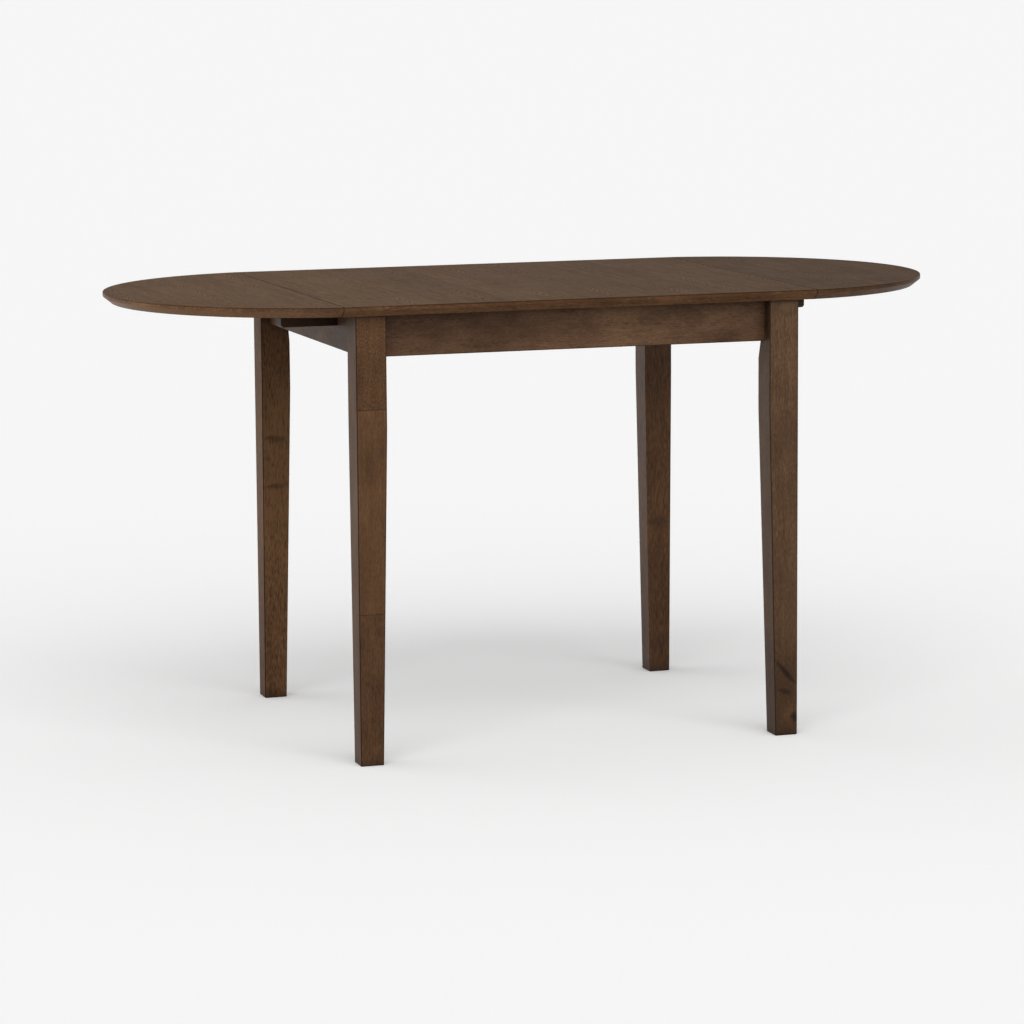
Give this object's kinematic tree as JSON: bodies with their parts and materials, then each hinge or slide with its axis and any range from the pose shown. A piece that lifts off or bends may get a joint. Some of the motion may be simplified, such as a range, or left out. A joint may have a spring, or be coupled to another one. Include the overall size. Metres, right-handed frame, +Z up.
{
  "type": "drop-leaf dining table",
  "caption": "Oval drop-leaf dining table in dark walnut stain: fixed centre, rounded end leaves that fold down on hinges, slide-out leaf support bars, aprons and tapered square legs.",
  "frame": {"origin": "on the floor under the middle of the table", "axes": "+X along the table from the left leaf to the right leaf, +Y from the front apron to the rear apron, +Z up"},
  "size_m": [1.422, 0.696, 0.75],
  "materials": {
    "walnut_top": "satin lacquer over stained crown-cut veneer",
    "walnut_legs": "satin lacquer over stained finger-jointed hardwood",
    "walnut_aprons": "satin lacquer over stained hardwood",
    "walnut_bars": "satin lacquer over stained hardwood",
    "inner_wood": "thin stain, matte",
    "beech_dowel": "bare, matte",
    "hinge_steel": "yellow-passivated zinc",
    "zinc_steel": "zinc plated"
  },
  "bodies": {
    "frame": {"centre_top": "walnut_top", "corner_block_screws": "zinc_steel", "front_apron": "walnut_aprons", "front_left_corner_block": "inner_wood", "front_left_leg": "walnut_legs", "front_right_corner_block": "inner_wood", "front_right_leg": "walnut_legs", "hanger_bolt_nuts": "zinc_steel", "hanger_bolt_washers": "zinc_steel", "hanger_bolts": "zinc_steel", "hinge_fixed_plate_screws": "zinc_steel", "left_end_apron": "walnut_aprons", "left_front_hinge_fixed_plate": "hinge_steel", "left_front_hinge_pin": "hinge_steel", "left_guide_rail": "inner_wood", "left_middle_hinge_fixed_plate": "hinge_steel", "left_middle_hinge_pin": "hinge_steel", "left_rear_hinge_fixed_plate": "hinge_steel", "left_rear_hinge_pin": "hinge_steel", "rail_dowels": "beech_dowel", "rear_apron": "walnut_aprons", "rear_left_corner_block": "inner_wood", "rear_left_leg": "walnut_legs", "rear_right_corner_block": "inner_wood", "rear_right_leg": "walnut_legs", "right_end_apron": "walnut_aprons", "right_front_hinge_fixed_plate": "hinge_steel", "right_front_hinge_pin": "hinge_steel", "right_guide_rail": "inner_wood", "right_middle_hinge_fixed_plate": "hinge_steel", "right_middle_hinge_pin": "hinge_steel", "right_rear_hinge_fixed_plate": "hinge_steel", "right_rear_hinge_pin": "hinge_steel", "top_bracket_screws": "zinc_steel", "top_brackets": "zinc_steel"},
    "left_leaf": {"front_left_bearing_block": "inner_wood", "left_bearing_block_screws": "zinc_steel", "left_front_hinge_moving_plate": "hinge_steel", "left_hinge_moving_plate_screws": "zinc_steel", "left_leaf": "walnut_top", "left_middle_hinge_moving_plate": "hinge_steel", "left_rear_hinge_moving_plate": "hinge_steel", "rear_left_bearing_block": "inner_wood"},
    "right_leaf": {"front_right_bearing_block": "inner_wood", "rear_right_bearing_block": "inner_wood", "right_bearing_block_screws": "zinc_steel", "right_front_hinge_moving_plate": "hinge_steel", "right_hinge_moving_plate_screws": "zinc_steel", "right_leaf": "walnut_top", "right_middle_hinge_moving_plate": "hinge_steel", "right_rear_hinge_moving_plate": "hinge_steel"},
    "front_left_bar": {"front_left_stop_pin": "beech_dowel", "front_left_support_bar": "walnut_bars"},
    "front_right_bar": {"front_right_stop_pin": "beech_dowel", "front_right_support_bar": "walnut_bars"},
    "rear_left_bar": {"rear_left_stop_pin": "beech_dowel", "rear_left_support_bar": "walnut_bars"},
    "rear_right_bar": {"rear_right_stop_pin": "beech_dowel", "rear_right_support_bar": "walnut_bars"}
  },
  "joints": [
    {"name": "left_leaf_fold", "type": "hinge", "parent": "frame", "child": "left_leaf", "pos_m": [-0.405, 0, 0.7295], "axis": [0, -1, 0], "range_deg": [0, 90]},
    {"name": "right_leaf_fold", "type": "hinge", "parent": "frame", "child": "right_leaf", "pos_m": [0.405, 0, 0.7295], "axis": [0, 1, 0], "range_deg": [0, 90]},
    {"name": "front_left_bar_slide", "type": "slide", "parent": "frame", "child": "front_left_bar", "axis": [1, 0, 0], "range_m": [0, 0.11]},
    {"name": "rear_left_bar_slide", "type": "slide", "parent": "frame", "child": "rear_left_bar", "axis": [1, 0, 0], "range_m": [0, 0.11]},
    {"name": "front_right_bar_slide", "type": "slide", "parent": "frame", "child": "front_right_bar", "axis": [-1, 0, 0], "range_m": [0, 0.11]},
    {"name": "rear_right_bar_slide", "type": "slide", "parent": "frame", "child": "rear_right_bar", "axis": [-1, 0, 0], "range_m": [0, 0.11]}
  ],
  "couplings": [
    {"joint": "front_left_bar_slide", "follows": "left_leaf_fold", "m_per_rad": 0.070028},
    {"joint": "rear_left_bar_slide", "follows": "left_leaf_fold", "m_per_rad": 0.070028},
    {"joint": "front_right_bar_slide", "follows": "right_leaf_fold", "m_per_rad": 0.070028},
    {"joint": "rear_right_bar_slide", "follows": "right_leaf_fold", "m_per_rad": 0.070028}
  ]
}
